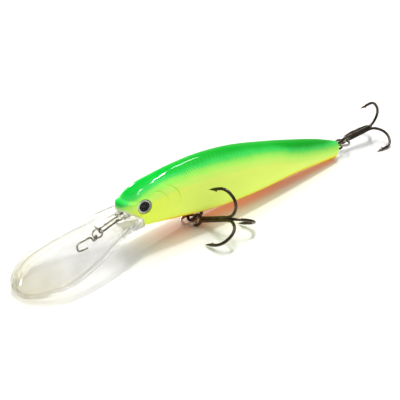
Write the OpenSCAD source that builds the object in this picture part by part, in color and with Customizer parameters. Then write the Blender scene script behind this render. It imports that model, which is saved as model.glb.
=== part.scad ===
// Slender deep-diving crankbait: two-piece hollow body, clear lip, line tie with
// snap, and two treble hooks on split rings. Millimetres. The lure stands in its
// resting attitude: nose toward -X, tail toward +X, left flank toward -Y, table at Z = 0.

/* [Body] */
// nose to tail length of the moulded body
body_length = 75; // [60:1:95]
// nose-up attitude of the resting lure, degrees
body_pitch = 7.26; // [0:0.1:12]
// shell wall thickness
wall = 1.2; // [0.8:0.1:2]
// squareness of the body section
section_power = 2.2; // [2:0.1:3]

/* [Lip] */
// length of the lip from its datum at the chin
lip_length = 32.3; // [20:0.5:40]
// downward angle of the lip against the table
lip_angle = 15; // [5:0.5:40]
// edge thickness of the lip
lip_edge = 1.3; // [0.8:0.1:2.5]
// depth of the dished upper face
lip_dish = 1.3; // [0:0.1:2]

/* [Eyes] */
// diameter of one eye
eye_diameter = 3.4; // [3:0.1:6]
// diameter of the pupil
pupil_diameter = 2.5; // [1:0.1:4]
// height of the clear dome over the foil
lens_height = 0.75; // [0.4:0.1:1.5]

/* [Hooks and rings] */
// hook wire diameter
hook_wire = 0.76; // [0.5:0.02:1.2]
// mean radius of the hook eye
hook_eye_radius = 1.27; // [1:0.01:2]
// mean radius of a split ring
ring_radius = 1.94; // [1.5:0.02:3]
// split ring wire diameter
ring_wire = 0.4; // [0.3:0.02:0.8]
// hanger wire diameter
hanger_wire = 0.8; // [0.5:0.05:1.2]

/* [Line tie] */
// line tie wire diameter
tie_wire = 0.45; // [0.4:0.05:0.9]
// mean radius of the small split ring on the line tie
tie_ring_radius = 1.15; // [1:0.05:1.6]
// wire diameter of the small split ring
tie_ring_wire = 0.22; // [0.16:0.02:0.4]
// snap wire diameter
snap_wire = 0.42; // [0.3:0.02:0.6]

/* [Inner weights] */
// diameter of one sliding weight
ball_diameter = 4.2; // [3:0.1:6]
// diameter of the rattle shot
rattle_diameter = 2.6; // [2:0.1:4]

/* [Hidden] */
$fn = 32;

// placing of the whole lure in the table frame
shift_x = 0.367;
centre_y = 4.13;
shift_z = -0.0155;
nose_x = -32.73 + shift_x;
nose_z = 12.5 + shift_z;

// body outline: distance from the nose, then the half sizes up, down and sideways
top_tab = [[0, 3], [3, 3.35], [8, 4.7], [15, 6.3], [24, 7.6], [34, 7.85], [45, 6.9],
  [56, 5.55], [66, 4], [75, 1.95]];
bottom_tab = [[0, 7], [3, 6.8], [8, 6.65], [15, 6.85], [24, 7], [34, 6.65], [45, 5.5],
  [56, 4], [66, 3.2], [75, 2.95]];
side_tab = [[0, 3.75], [3, 3.75], [8, 4.1], [15, 4.7], [24, 5.15], [34, 5.15], [45, 4.5],
  [56, 3.5], [66, 2.5], [75, 1.5]];
nose_round = 6;
tail_round = 1.35;
// the mouth juts out below the snout: reach, upper height and softness, lower height, length of fade
mouth_reach = 1.2;
mouth_top = 0.6;
mouth_edge = 0.8;
mouth_low = -4;
mouth_fade = 6;
nose_steps = [0.06, 0.25, 0.6, 1.1, 1.8, 2.7, 3.8, 5];
tail_steps = [73.65, 74.2, 74.6, 74.85, 75];
long_step = 3;

// lip outline: distance along the lip, half width
lip_tab = [[-3, 3.3], [0, 3.9], [2, 4.6], [4, 5.35], [6, 5.9], [9, 6.35], [12, 7.1], [14, 7.6],
  [16.5, 8], [19, 8.3], [22, 8.42], [24, 8.25], [26, 7.6], [28, 6.6], [29.5, 5.5], [30.8, 4.15],
  [31.6, 2.9], [32.1, 1.6], [32.3, 0.5]];
lip_x = 2.42;
lip_z = -2.25;
lip_rim = 2.2;
tongue_half = 2.2;

// hook outline: distance from the eye along the shank, distance out from the axis
hook_start = 1.35;
single_start = 1.75;
hook_tab = [[4, 0.44], [7, 0.44], [9.6, 0.44], [10.5, 0.54], [11.4, 0.86], [12.2, 1.45],
  [12.9, 2.25], [13.35, 3.15], [13.5, 4.05], [13.35, 5], [12.95, 5.85], [12.25, 6.75],
  [11.3, 7.35], [10.3, 7.57], [9.3, 7.57], [8.3, 7.52], [7.2, 7.5], [6.2, 7.5]];
hook_r = hook_wire / 2;
barb_near = 7.3;
barb_far = 9.0;

// belly hardware, in lure-centred table coordinates
belly_eye_at = [-12.1, -2.38, 1.52];
belly_eye_turn = -80.4;
belly_eye_rise = 20.4;
belly_ring_at = [-13.15, -0.8, 1.32];
belly_ring_lean = 10;
belly_window = [-11.25, 0, 1.66];
belly_hanger_x = [-12.9, -8.5];
belly_hanger_z = 0.47;
belly_hanger_top = 5.2;

// tail hardware, in lure-centred table coordinates
tail_eye_at = [46.55, 1.6, 3.16];
tail_eye_turn = -3.9;
tail_eye_rise = 6.6;
tail_ring_at = [44.9, 0.72, 3.3];
tail_hanger_z = [2.35, 4.25];
tail_hanger_x = 44.05;
tail_window = [43.2, 0, 3.3];

// line tie, in lip coordinates
tie_top = 0.5;
tie_low = -0.75;
tie_end = 8.58;
tie_start = -4.5;
boss_end = 4.1;
boss_half = 0.8;
tie_link = 8.65;
tie_ring_dip = 10;
tie_ring_roll = 14;
snap_at = -25;
snap_eye = 0.55;
snap_eye_wire = 0.36;
snap_dip = 2.5;
snap_yaw = 21;

// eye seat on the left flank
eye_s = 4.0;
eye_h = -0.45;
eye_y = 3.62;
eye_yaw = 14;
seat_depth = 0.6;
foil_thick = 0.25;
pupil_thick = 0.12;

// inner walls
wall_a = [18, 20.6];
wall_b = [31, 33.6];
wall_c = [54, 56.6];
cavity_front = 9.2;
cavity_rear = 63.5;
bore_h = -0.9;
bore_d = 4.7;
rattle_h = 0;
pin_spots = [[7.6, 2.2], [19.3, 4.4], [32.3, 4.7], [55.3, 2.9]];
pin_d = 1.3;

cp = cos(body_pitch);
sp = sin(body_pitch);

// smooth value from a table of [x, y] rows
function seg(t, x, i = 0) = (i >= len(t) - 2 || x < t[i + 1][0]) ? i : seg(t, x, i + 1);
function slope(t, i) = i <= 0 ? (t[1][1] - t[0][1]) / (t[1][0] - t[0][0])
  : i >= len(t) - 1 ? (t[i][1] - t[i - 1][1]) / (t[i][0] - t[i - 1][0])
  : (t[i + 1][1] - t[i - 1][1]) / (t[i + 1][0] - t[i - 1][0]);
function herm(t, x, i, w, u) = (2 * u ^ 3 - 3 * u ^ 2 + 1) * t[i][1]
  + (u ^ 3 - 2 * u ^ 2 + u) * w * slope(t, i)
  + (3 * u ^ 2 - 2 * u ^ 3) * t[i + 1][1] + (u ^ 3 - u ^ 2) * w * slope(t, i + 1);
function at(t, x) = let (i = seg(t, x), w = t[i + 1][0] - t[i][0]) herm(t, x, i, w, (x - t[i][0]) / w);

// rounding of the two body ends
function nose_k(s) = s >= nose_round ? 1 : sqrt(1 - (1 - s / nose_round) ^ 2);
tail_from = body_length - tail_round * 0.9;
function tail_k(s) = s <= tail_from ? 1 : sqrt(1 - ((s - tail_from) / tail_round) ^ 2);
function end_k(s) = nose_k(s) * tail_k(s);
function up_at(s, in) = at(top_tab, s) * end_k(s) - in;
function down_at(s, in) = at(bottom_tab, s) * end_k(s) - in;
function side_at(s, in) = at(side_tab, s) * end_k(s) - in;

function smooth(x) = let (u = min(max(x, 0), 1)) u * u * (3 - 2 * u);
function mouth(s, h) = s >= mouth_fade ? 0 : mouth_reach * smooth((mouth_top - h) / mouth_edge + 0.5)
  * smooth((h - mouth_low) / 2 + 0.5) * (1 - smooth(s / mouth_fade));

// one half section: points from the belly seam round the flank to the back seam
function bend(c) = sign(c) * abs(c) ^ (2 / section_power);
function half_ring(s, in, m) = [for (j = [0 : m])
  let (a = -90 + 180 * j / m, c = max(cos(a), 0), z = bend(sin(a)))
  let (h = (z > 0 ? up_at(s, in) : down_at(s, in)) * z)
  [s - mouth(s, h), side_at(s, in) * bend(c), h]];

function whole_ring(s, in, m) = let (h = half_ring(s, in, m))
  concat(h, [for (j = [m - 1 : -1 : 1]) [h[j][0], -h[j][1], h[j][2]]]);

// closed solid through rings of equal length
module skin_rings(rings) {
  n = len(rings[0]);
  pts = [for (r = rings) each r];
  walls = [for (i = [0 : len(rings) - 2]) for (j = [0 : n - 1])
    let (a = i * n + j, b = i * n + (j + 1) % n) each [[a, b + n, b], [a, a + n, b + n]]];
  first = [[for (j = [0 : n - 1]) j]];
  last = [[for (j = [0 : n - 1]) len(rings) * n - 1 - j]];
  polyhedron(pts, concat(walls, first, last), 4);
}

function steps(a, b, d) = let (n = ceil((b - a) / d)) [for (i = [0 : n]) a + (b - a) * i / n];
body_steps = concat(nose_steps, steps(nose_round, 73, long_step), tail_steps);

// right-hand half of the body as a solid, mirrored for the left-hand half
module half_body(in = 0, m = 13) {
  skin_rings([for (s = body_steps) half_ring(s, in, m)]);
}
module half_cavity(a, b, m = 8) {
  skin_rings([for (s = steps(a, b, long_step)) half_ring(s, wall, m)]);
}

// frames
module lure() {
  translate([nose_x, centre_y, nose_z]) rotate([0, body_pitch, 0]) children();
}
module table_centred() {
  translate([shift_x, centre_y, shift_z]) children();
}
// lip frame: X runs out along the lip, Y is lateral, Z is normal to the lip
module lip_frame() {
  translate([nose_x + lip_x, centre_y, nose_z + lip_z])
    rotate([0, -lip_angle, 0]) mirror([1, 0, 0]) children();
}

// wire swept along points in one plane whose normal is given
function unit(v) = v / norm(v);
function tangent(p, i) = unit(p[min(i + 1, len(p) - 1)] - p[max(i - 1, 0)]);
function wire_ring(p, i, r, nrm, m) = let (t = tangent(p, i), u = cross(nrm, t))
  [for (k = [0 : m - 1]) let (a = 360 * (k + 0.3) / m) p[i] + r * (cos(a) * u + sin(a) * nrm)];
module wire(p, radii, nrm, m = 10) {
  skin_rings([for (i = [0 : len(p) - 1]) wire_ring(p, i, is_list(radii) ? radii[i] : radii, nrm, m)]);
}
function arc(c, r, a, b, n) = [for (i = [0 : n]) let (t = a + (b - a) * i / n) c + r * [cos(t), sin(t)]];

// body shells ------------------------------------------------------------
// side view of everything that belongs to the clear chin: the paint ends along the jaw
jaw_line = [[-66, 52.5], [-1.3, -1.35], [-0.25, -1.6], [0.76, -2.2], [2, -2.7], [4, -3.6], [4.6, -4.4],
  [5.1, -6], [6, -7.6], [8, -12.7]];
chin_far = [[-41.6, -78.7], [-121, -12.7]];
module chin_block() {
  rotate([90, 0, 0]) linear_extrude(30, center = true) polygon(concat(jaw_line, chin_far));
}
module tongue() {
  translate([-5.5, -tongue_half, -2.5]) cube([10, 2 * tongue_half, 1.2]);
}
module lure_from_lip() {
  rotate([0, -body_pitch, 0]) translate([-nose_x, -centre_y, -nose_z]) lip_frame() children();
}
module lure_from_table() {
  rotate([0, -body_pitch, 0]) translate([shift_x - nose_x, 0, shift_z - nose_z]) children();
}

module cavities() {
  difference() {
    union() {
      half_cavity(cavity_front, wall_a[0]);
      half_cavity(wall_a[1], wall_b[0]);
      half_cavity(wall_b[1], wall_c[0]);
      half_cavity(wall_c[1], cavity_rear);
    }
    ballast_cradle();
    hanger_pad();
    transfer_ribs();
  }
}
module ballast_cradle() {
  for (s = [10.6, 15.6]) translate([s, -1, -9]) cube([1.2, 8, 7.6]);
}
module ballast_form(grow = 0) {
  translate([9.6, -2.3, -5.2]) cube([8.2, 4.6, 3.6]);
}
module hanger_pad() {
  translate([wall_a[1] - 0.1, -1, -9]) cube([6.2, 2.3, 6.1]);
}
module transfer_ribs() {
  for (s = [41, 49]) translate([s, -1, -9]) cube([1.4, 8, 20]);
}
module guide_bore() {
  translate([38, 0, bore_h]) rotate([0, 90, 0]) cylinder(d = bore_d, h = 14);
}
module pins(d, h) {
  for (p = pin_spots) translate([p[0], 0, p[1]]) rotate([-90, 0, 0]) cylinder(d = d, h = h, $fn = 16);
}
module eye_seat(r, z0, z1) {
  translate([eye_s, eye_y, eye_h]) rotate([-90, 0, eye_yaw]) translate([0, 0, z0])
    cylinder(r = r, h = z1 - z0);
}

module half_shell(pin_side) {
  resize([0, 0, 0]) difference() {
    half_body();
    cavities();
    guide_bore();
    ballast_form();
    chin_block();
    lure_from_lip() tongue();
    lure_from_lip() tie_shape(0.04);
    lure_from_table() belly_hanger_shape();
    lure_from_table() tail_hanger_shape();
    eye_seat(eye_diameter / 2 + 0.1, -seat_depth, 3);
    if (!pin_side) pins(pin_d, 1.6);
  }
}

module right_body_shell() {
  color([0.35, 0.85, 0.2]) lure() half_shell(false);
}
module left_body_shell() {
  color([0.35, 0.85, 0.2]) lure() {
    resize([0, 0, 0]) union() {
      mirror([0, 1, 0]) half_shell(true);
      pins(pin_d, 1.5);
    }
  }
}

// lip ---------------------------------------------------------------------
function edge_gap(q, y) = min(at(lip_tab, q) - abs(y), lip_length - q);
function lip_row(q, m, low) = [for (j = [0 : m])
  let (y = at(lip_tab, q) * cos(180 * j / m), f = smooth(edge_gap(q, y) / lip_rim))
  [q, y, low ? -lip_edge - 1.1 * f : -lip_dish * f]];
function reverse(l) = [for (i = [len(l) - 1 : -1 : 0]) l[i]];
lip_steps = [-3, -1, 1, 3, 5, 8, 11, 14, 17, 20, 22.5, 25, 27, 28.6, 29.8, 30.7, 31.3, 31.7, 32,
  32.2, 32.3];
module lip_plate(m = 14) {
  skin_rings([for (q = lip_steps) concat(lip_row(q, m, false), reverse(lip_row(q, m, true)))]);
}
module root_collar() {
  hull() {
    translate([7.5, -4.6, -2.3]) cube([0.4, 9.2, 0.8]);
    translate([2.2, -4.2, -3.6]) cube([0.6, 8.4, 2]);
    translate([-0.6, -3.3, -4.8]) cube([0.4, 6.6, 3.6]);
  }
}
module whole_body(m = 13) {
  skin_rings([for (s = body_steps) whole_ring(s, 0, m)]);
}
module lure_to_lip() {
  mirror([1, 0, 0]) rotate([0, lip_angle, 0]) translate([-lip_x, 0, -lip_z])
    rotate([0, body_pitch, 0]) children();
}
module tie_boss() {
  rotate([90, 0, 0]) linear_extrude(2 * boss_half, center = true)
    polygon([[0.6, -2], [boss_end, -2], [boss_end - 0.2, 0.5], [boss_end - 0.6, 0.95], [0.6, 1.0]]);
}
module diving_lip() {
  color([0.85, 0.88, 0.85, 0.5]) lip_frame() resize([0, 0, 0]) difference() {
    union() {
      intersection() {
        union() {
          lip_plate();
          tie_boss();
          root_collar();
          intersection() {
            lure_to_lip() whole_body();
            translate([-20, -10, -20]) cube([28, 20, 40]);
          }
        }
        lure_to_lip() chin_block();
      }
      tongue();
    }
    tie_shape();
  }
}

// line tie and snap ---------------------------------------------------------
tie_mid = (tie_top + tie_low) / 2;
tie_bend = (tie_top - tie_low) / 2;
tie_path = concat([[tie_start, tie_low]], [[0, tie_low]], [[4, tie_low]],
  arc([tie_end, tie_mid], tie_bend, -90, 90, 10), [[4, tie_top]], [[0, tie_top]], [[tie_start, tie_top]]);
module tie_shape(grow = 0) {
  wire([for (p = tie_path) [p[0], 0, p[1]]], tie_wire / 2 + grow, [0, 1, 0]);
}
module line_tie_wire() {
  color([0.55, 0.52, 0.45]) lip_frame() tie_shape();
}

// small split ring with a flared tab, linked through the line tie; its frame starts at the link
module tie_ring_frame() {
  lip_frame() translate([tie_link, 0, tie_mid]) rotate([0, tie_ring_dip, 0]) rotate([tie_ring_roll, 0, 0])
    children();
}
module tab_corner(p) {
  translate(p) sphere(d = 0.22, $fn = 10);
}
module line_tie_ring() {
  color([0.6, 0.57, 0.5]) tie_ring_frame() resize([0, 0, 0]) union() {
    translate([tie_ring_radius, 0, 0]) rotate_extrude($fn = 40) translate([tie_ring_radius, 0]) union() {
      translate([0, tie_ring_wire * 0.45]) circle(d = tie_ring_wire, $fn = 12);
      translate([0, -tie_ring_wire * 0.45]) circle(d = tie_ring_wire, $fn = 12);
    }
    hull() {
      tab_corner([0.16, 0.6, 0.05]);
      tab_corner([1.05, 1.12, 0.05]);
      tab_corner([0.75, 0.9, 1.9]);
    }
  }
}

// wire snap: an eye round the small ring, then a wide loop whose end stays open
snap_path = [[0, 0], [0.3, 0.15], [0.42, 0.6], [0.5, 1.1], [0.8, 1.4], [1.5, 1.38], [3.2, 1.12],
  [3.6, 0.98], [3.92, 0.7], [4.12, 0.3], [4.22, -0.3], [4.3, -0.9], [4.22, -1.3], [3.9, -1.54],
  [3, -1.6], [2.15, -1.56]];
function turn_x(v, a) = [v[0], v[1] * cos(a) - v[2] * sin(a), v[1] * sin(a) + v[2] * cos(a)];
function turn_y(v, a) = [v[0] * cos(a) + v[2] * sin(a), v[1], v[2] * cos(a) - v[0] * sin(a)];
function on_tie_ring(r) = [tie_link, 0, tie_mid] + turn_y(turn_x([tie_ring_radius + r * cos(snap_at),
  r * sin(snap_at), 0], tie_ring_roll), tie_ring_dip);
module line_snap() {
  color([0.6, 0.57, 0.5]) resize([0, 0, 0]) union() {
    tie_ring_frame() translate([tie_ring_radius, 0, 0]) rotate([0, 0, snap_at])
      translate([tie_ring_radius, 0, 0]) rotate([90, 0, 0]) rotate_extrude($fn = 28)
        translate([snap_eye, 0]) circle(d = snap_eye_wire, $fn = 10);
    lip_frame() translate(on_tie_ring(tie_ring_radius + snap_eye)) rotate([0, snap_dip, 0])
      rotate([0, 0, snap_yaw]) wire([for (p = snap_path) [p[0], p[1], 0]], snap_wire / 2, [0, 0, 1], 8);
  }
}

// hangers -------------------------------------------------------------------
function loop_path(x0, x1, z0, z1, r) = concat(
  arc([x1 - r, z0 + r], r, -90, 0, 4), arc([x1 - r, z1 - r], r, 0, 90, 4),
  arc([x0 + r, z1 - r], r, 90, 180, 4), arc([x0 + r, z0 + r], r, 180, 270, 4));
// closed wire loop lying in the XZ plane
module closed_wire(p, r, m = 10) {
  n = len(p);
  ring = [for (i = [0 : n - 1]) let (a = p[(i + n - 1) % n], b = p[(i + 1) % n], t = unit(b - a))
    [for (k = [0 : m - 1]) let (c = cos(360 * k / m) * r, s = sin(360 * k / m) * r)
      [p[i][0] - t[1] * c, s, p[i][1] + t[0] * c]]];
  pts = [for (q = ring) each q];
  faces = [for (i = [0 : n - 1]) for (j = [0 : m - 1])
    let (a = i * m + j, b = i * m + (j + 1) % m, e = ((i + 1) % n) * m, c = e + (j + 1) % m, d = e + j)
    each [[a, b, c], [a, c, d]]];
  polyhedron(pts, faces, 4);
}
module belly_hanger_shape() {
  closed_wire(loop_path(belly_hanger_x[0], belly_hanger_x[1], belly_hanger_z, belly_hanger_top, 1.1),
    hanger_wire / 2);
}
module belly_hook_hanger() {
  color([0.25, 0.23, 0.2]) table_centred() belly_hanger_shape();
}
module tail_hanger_shape() {
  closed_wire(loop_path(37.4, tail_hanger_x, tail_hanger_z[0], tail_hanger_z[1], 0.9), 0.33);
}
module tail_hook_hanger() {
  color([0.25, 0.23, 0.2]) table_centred() tail_hanger_shape();
}

// split ring: two turns of wire lying on each other
module split_ring() {
  rotate_extrude($fn = 48) translate([ring_radius, 0]) union() {
    translate([0, ring_wire * 0.45]) circle(d = ring_wire, $fn = 16);
    translate([0, -ring_wire * 0.45]) circle(d = ring_wire, $fn = 16);
  }
}
module belly_split_ring() {
  color([0.6, 0.6, 0.6]) table_centred() translate(belly_ring_at)
    rotate([0, -belly_ring_lean, 0]) split_ring();
}
module tail_split_ring() {
  color([0.6, 0.6, 0.6]) table_centred() translate(tail_ring_at) rotate([0, 2, 0]) split_ring();
}

// treble hooks --------------------------------------------------------------
function taper(t, r) = r < 7 ? hook_r : t > 8.6 ? hook_r : hook_r * (0.1 + 0.9 * smooth((t - 6.2) / 2.4));
module one_hook(angle, from) {
  path = concat([[from, 0.44]], hook_tab);
  rotate([angle, 0, 0]) {
    wire([for (p = path) [p[0], 0, p[1]]], [for (p = path) taper(p[0], p[1])], [0, 1, 0]);
    rotate([90, 0, 0]) linear_extrude(0.3, center = true)
      polygon([[barb_near, 7.45], [barb_far, 6.78], [barb_far - 0.35, 7.4]]);
  }
}
// the eye lies square to the lone third hook, whose turn about the shank is given
module hook_eye(lone) {
  rotate([lone, 0, 0]) rotate_extrude($fn = 40) translate([hook_eye_radius, 0]) circle(r = hook_r, $fn = 12);
}
module double_hook(lone) {
  resize([0, 0, 0]) union() {
    hook_eye(lone);
    one_hook(lone + 120, hook_start);
    one_hook(lone + 240, hook_start);
  }
}
module single_hook(lone) {
  resize([0, 0, 0]) one_hook(lone, single_start);
}
module belly_place() {
  table_centred() translate(belly_eye_at) rotate([0, 0, belly_eye_turn])
    rotate([0, -belly_eye_rise, 0]) children();
}
module tail_place() {
  table_centred() translate(tail_eye_at) rotate([0, 0, tail_eye_turn])
    rotate([0, -tail_eye_rise, 0]) children();
}
module belly_treble_double() {
  color([0.2, 0.17, 0.12]) belly_place() double_hook(240);
}
module belly_treble_single() {
  color([0.2, 0.17, 0.12]) belly_place() single_hook(240);
}
module tail_treble_double() {
  color([0.2, 0.17, 0.12]) tail_place() double_hook(120);
}
module tail_treble_single() {
  color([0.2, 0.17, 0.12]) tail_place() single_hook(120);
}

// eyes ------------------------------------------------------------------------
module eye_place(side) {
  lure() mirror([0, side < 0 ? 1 : 0, 0]) translate([eye_s, eye_y, eye_h])
    rotate([-90, 0, eye_yaw]) children();
}
module foil() {
  translate([0, 0, -seat_depth]) cylinder(d = eye_diameter, h = foil_thick, $fn = 40);
}
module pupil() {
  translate([0, 0, -seat_depth + foil_thick]) cylinder(d = pupil_diameter, h = pupil_thick, $fn = 32);
}
lens_base = -seat_depth + foil_thick;
lens_ball = 3;
module lens() {
  difference() {
    intersection() {
      translate([0, 0, lens_base]) cylinder(d = eye_diameter, h = lens_height + 0.1, $fn = 40);
      translate([0, 0, lens_base + lens_height - lens_ball]) sphere(r = lens_ball, $fn = 60);
    }
    translate([0, 0, lens_base - 0.01]) cylinder(d = pupil_diameter, h = pupil_thick + 0.01, $fn = 32);
  }
}
module left_eye_foil() {
  color([0.8, 0.8, 0.8]) eye_place(-1) foil();
}
module left_eye_pupil() {
  color([0.03, 0.03, 0.03]) eye_place(-1) pupil();
}
module left_eye_lens() {
  color([0.9, 0.95, 1, 0.4]) eye_place(-1) lens();
}
module right_eye_foil() {
  color([0.8, 0.8, 0.8]) eye_place(1) foil();
}
module right_eye_pupil() {
  color([0.03, 0.03, 0.03]) eye_place(1) pupil();
}
module right_eye_lens() {
  color([0.9, 0.95, 1, 0.4]) eye_place(1) lens();
}

// weights ---------------------------------------------------------------------
module ballast_weight() {
  color([0.45, 0.45, 0.48]) lure() ballast_form();
}
module transfer_weight(back) {
  translate([wall_c[0] - 0.15 - back, 0, bore_h]) sphere(d = ball_diameter);
}
module transfer_weight_front() {
  color([0.6, 0.6, 0.62]) lure() transfer_weight(1.5 * ball_diameter + 0.1);
}
module transfer_weight_rear() {
  color([0.6, 0.6, 0.62]) lure() transfer_weight(0.5 * ball_diameter);
}
module rattle_shot() {
  color([0.6, 0.6, 0.62]) lure()
    translate([cavity_rear - 0.2 - rattle_diameter / 2, 0, rattle_h]) sphere(d = rattle_diameter);
}

left_body_shell();
right_body_shell();
diving_lip();
line_tie_wire();
line_tie_ring();
line_snap();
belly_hook_hanger();
belly_split_ring();
belly_treble_double();
belly_treble_single();
tail_hook_hanger();
tail_split_ring();
tail_treble_double();
tail_treble_single();
left_eye_foil();
left_eye_pupil();
left_eye_lens();
right_eye_foil();
right_eye_pupil();
right_eye_lens();
ballast_weight();
transfer_weight_front();
transfer_weight_rear();
rattle_shot();
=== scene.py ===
import math

import bpy
import numpy as np
from mathutils import Matrix, Vector

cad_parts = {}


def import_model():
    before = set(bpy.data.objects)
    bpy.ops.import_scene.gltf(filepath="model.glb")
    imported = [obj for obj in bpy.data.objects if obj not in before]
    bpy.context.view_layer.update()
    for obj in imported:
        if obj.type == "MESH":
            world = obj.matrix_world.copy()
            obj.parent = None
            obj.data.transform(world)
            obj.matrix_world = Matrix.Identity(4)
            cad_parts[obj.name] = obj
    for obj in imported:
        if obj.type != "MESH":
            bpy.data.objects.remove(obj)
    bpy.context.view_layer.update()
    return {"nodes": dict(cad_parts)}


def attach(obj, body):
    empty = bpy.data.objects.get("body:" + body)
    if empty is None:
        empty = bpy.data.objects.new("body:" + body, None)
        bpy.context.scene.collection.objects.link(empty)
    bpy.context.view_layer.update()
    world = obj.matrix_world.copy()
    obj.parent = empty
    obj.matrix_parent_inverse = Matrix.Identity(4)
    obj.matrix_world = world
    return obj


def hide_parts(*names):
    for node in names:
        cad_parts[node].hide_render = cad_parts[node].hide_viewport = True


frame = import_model()
scene = bpy.context.scene
MM = 0.001


# ---------------------------------------------------------------- camera and view
def make_camera():
    data = bpy.data.cameras.new("view_camera")
    cam = bpy.data.objects.new("view_camera", data)
    scene.collection.objects.link(cam)
    scene.camera = cam
    data.sensor_width = 36
    data.lens = 85.04
    data.clip_start = 0.005
    data.clip_end = 20
    az, el, dist = math.radians(-42.07), math.radians(28.12), 0.23926
    back = Vector((math.sin(az) * math.cos(el), -math.cos(az) * math.cos(el), math.sin(el)))
    aim = Vector((-0.002573, 0.01087, 0))
    cam.location = aim + back * dist
    cam.rotation_mode = "QUATERNION"
    cam.rotation_quaternion = (-back).to_track_quat("-Z", "Y")
    scene.view_settings.view_transform = "Standard"


make_camera()

# ---------------------------------------------------------------- lure frame and outlines (millimetres)
# lure frame: s back along the body from the nose, y to the right flank, h up; the tail is pitched down
PITCH = math.radians(7.26)
CP, SP = math.cos(PITCH), math.sin(PITCH)
SHIFT = np.array([0.367, 4.13, -0.0155])  # from the design origin to the middle of the bounding box
NOSE = np.array([-32.73, 0, 12.5]) + SHIFT
LENGTH = 75.0
NOSE_ROUND, TAIL_ROUND = 6.0, 1.5  # rounded lengths at the two ends
TAIL_START = LENGTH - TAIL_ROUND
MOUTH_OUT = 1.2
SECTION_POWER = 2.2  # superellipse power of the body's sections

# height above, depth below and half width, each against the distance from the nose
TOP = [(0, 3), (3, 3.35), (8, 4.7), (15, 6.3), (24, 7.6),
       (34, 7.85), (45, 6.9), (56, 5.55), (66, 4), (75, 1.95)]
LOW = [(0, 7), (3, 6.8), (8, 6.65), (15, 6.85), (24, 7),
       (34, 6.65), (45, 5.5), (56, 4), (66, 3.2), (75, 2.95)]
WIDE = [(0, 3.75), (3, 3.75), (8, 4.1), (15, 4.7), (24, 5.15),
        (34, 5.15), (45, 4.5), (56, 3.5), (66, 2.5), (75, 1.5)]

# lip frame: q forward along the lip from its root, y across, n out of its upper face
# half width of the lip against q
LIP = [(-3, 3.3), (0, 3.9), (2, 4.6), (4, 5.35), (6, 5.9), (9, 6.35), (12, 7.1), (14, 7.6), (16.5, 8),
       (19, 8.3), (22, 8.42), (24, 8.25), (26, 7.6), (28, 6.6), (29.5, 5.5), (30.8, 4.15), (31.6, 2.9),
       (32.1, 1.6), (32.3, 0.5)]
LIP_LENGTH = 32.3
LIP_ANGLE = math.radians(15)
LIP_ORIGIN = NOSE + np.array([2.42, 0, -2.25])


def curve(rows, x):
    """Smooth value of a table of (x, y) rows."""
    t = np.array(rows, float)
    x = np.asarray(x, float)
    d = np.gradient(t[:, 1])
    for i in range(len(t)):
        a, b = max(i - 1, 0), min(i + 1, len(t) - 1)
        d[i] = (t[b, 1] - t[a, 1]) / (t[b, 0] - t[a, 0])
    i = np.clip(np.searchsorted(t[:, 0], x, "right") - 1, 0, len(t) - 2)
    w = t[i + 1, 0] - t[i, 0]
    u = (x - t[i, 0]) / w
    return ((2 * u**3 - 3 * u**2 + 1) * t[i, 1] + (u**3 - 2 * u**2 + u) * w * d[i]
            + (3 * u**2 - 2 * u**3) * t[i + 1, 1] + (u**3 - u**2) * w * d[i + 1])


def smooth(x, a=0.0, b=1.0):
    """Soft step from 0 at a to 1 at b."""
    u = np.clip((np.asarray(x, float) - a) / (b - a), 0, 1)
    return u * u * (3 - 2 * u)


def end_scale(s):
    """Share of the full section that is left towards the rounded nose and tail."""
    nose = np.where(s < NOSE_ROUND, np.sqrt(np.clip(1 - (1 - s / NOSE_ROUND) ** 2, 0, 1)), 1)
    tail = np.where(s > TAIL_START, np.sqrt(np.clip(1 - ((s - TAIL_START) / TAIL_ROUND) ** 2, 0, 1)), 1)
    return nose * tail


def mouth(s, h):
    """How far the mouth juts out below the snout."""
    band = smooth((0.6 - h) / 0.8 + 0.5) * smooth((h + 4) / 2 + 0.5)
    return np.where(s < NOSE_ROUND, MOUTH_OUT * band * (1 - smooth(s / NOSE_ROUND)), 0)


def squared(c):
    """Cosine or sine of a round section turned into that of a superellipse."""
    return np.sign(c) * np.abs(c) ** (2 / SECTION_POWER)


def lip_to_row(p):
    """Points of the lip frame as points of the whole object's frame."""
    q, y, n = p[..., 0], p[..., 1], p[..., 2]
    c, s = math.cos(LIP_ANGLE), math.sin(LIP_ANGLE)
    return np.stack([LIP_ORIGIN[0] - q * c - n * s, LIP_ORIGIN[1] + y, LIP_ORIGIN[2] - q * s + n * c], -1)


LURE_MATRIX = Matrix(((CP, 0, SP, NOSE[0] * MM),
                      (0, 1, 0, NOSE[1] * MM),
                      (-SP, 0, CP, NOSE[2] * MM),
                      (0, 0, 0, 1)))


# ---------------------------------------------------------------- mesh helpers
def make_object(name, verts, faces, matrix=None, smooth_faces=True):
    """Mesh object from points in millimetres, which matrix moves into the object's frame."""
    mesh = bpy.data.meshes.new(name)
    mesh.from_pydata((np.asarray(verts, float) * MM).tolist(), [], [list(map(int, f)) for f in faces])
    mesh.validate()
    if matrix is not None:
        mesh.transform(matrix)
    obj = bpy.data.objects.new(name, mesh)
    scene.collection.objects.link(obj)
    mesh.polygons.foreach_set("use_smooth", [smooth_faces] * len(mesh.polygons))
    return obj


def tube_faces(rows, cols):
    """Quads between neighbouring rings of a tube."""
    faces = []
    for i in range(rows - 1):
        for j in range(cols):
            a, b = i * cols + j, i * cols + (j + 1) % cols
            faces.append((a, b, b + cols, a + cols))
    return faces


def capped_faces(rows, cols):
    """Tube with a flat face over each end."""
    caps = [tuple(reversed(range(cols))), tuple(range((rows - 1) * cols, rows * cols))]
    return tube_faces(rows, cols) + caps


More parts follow.
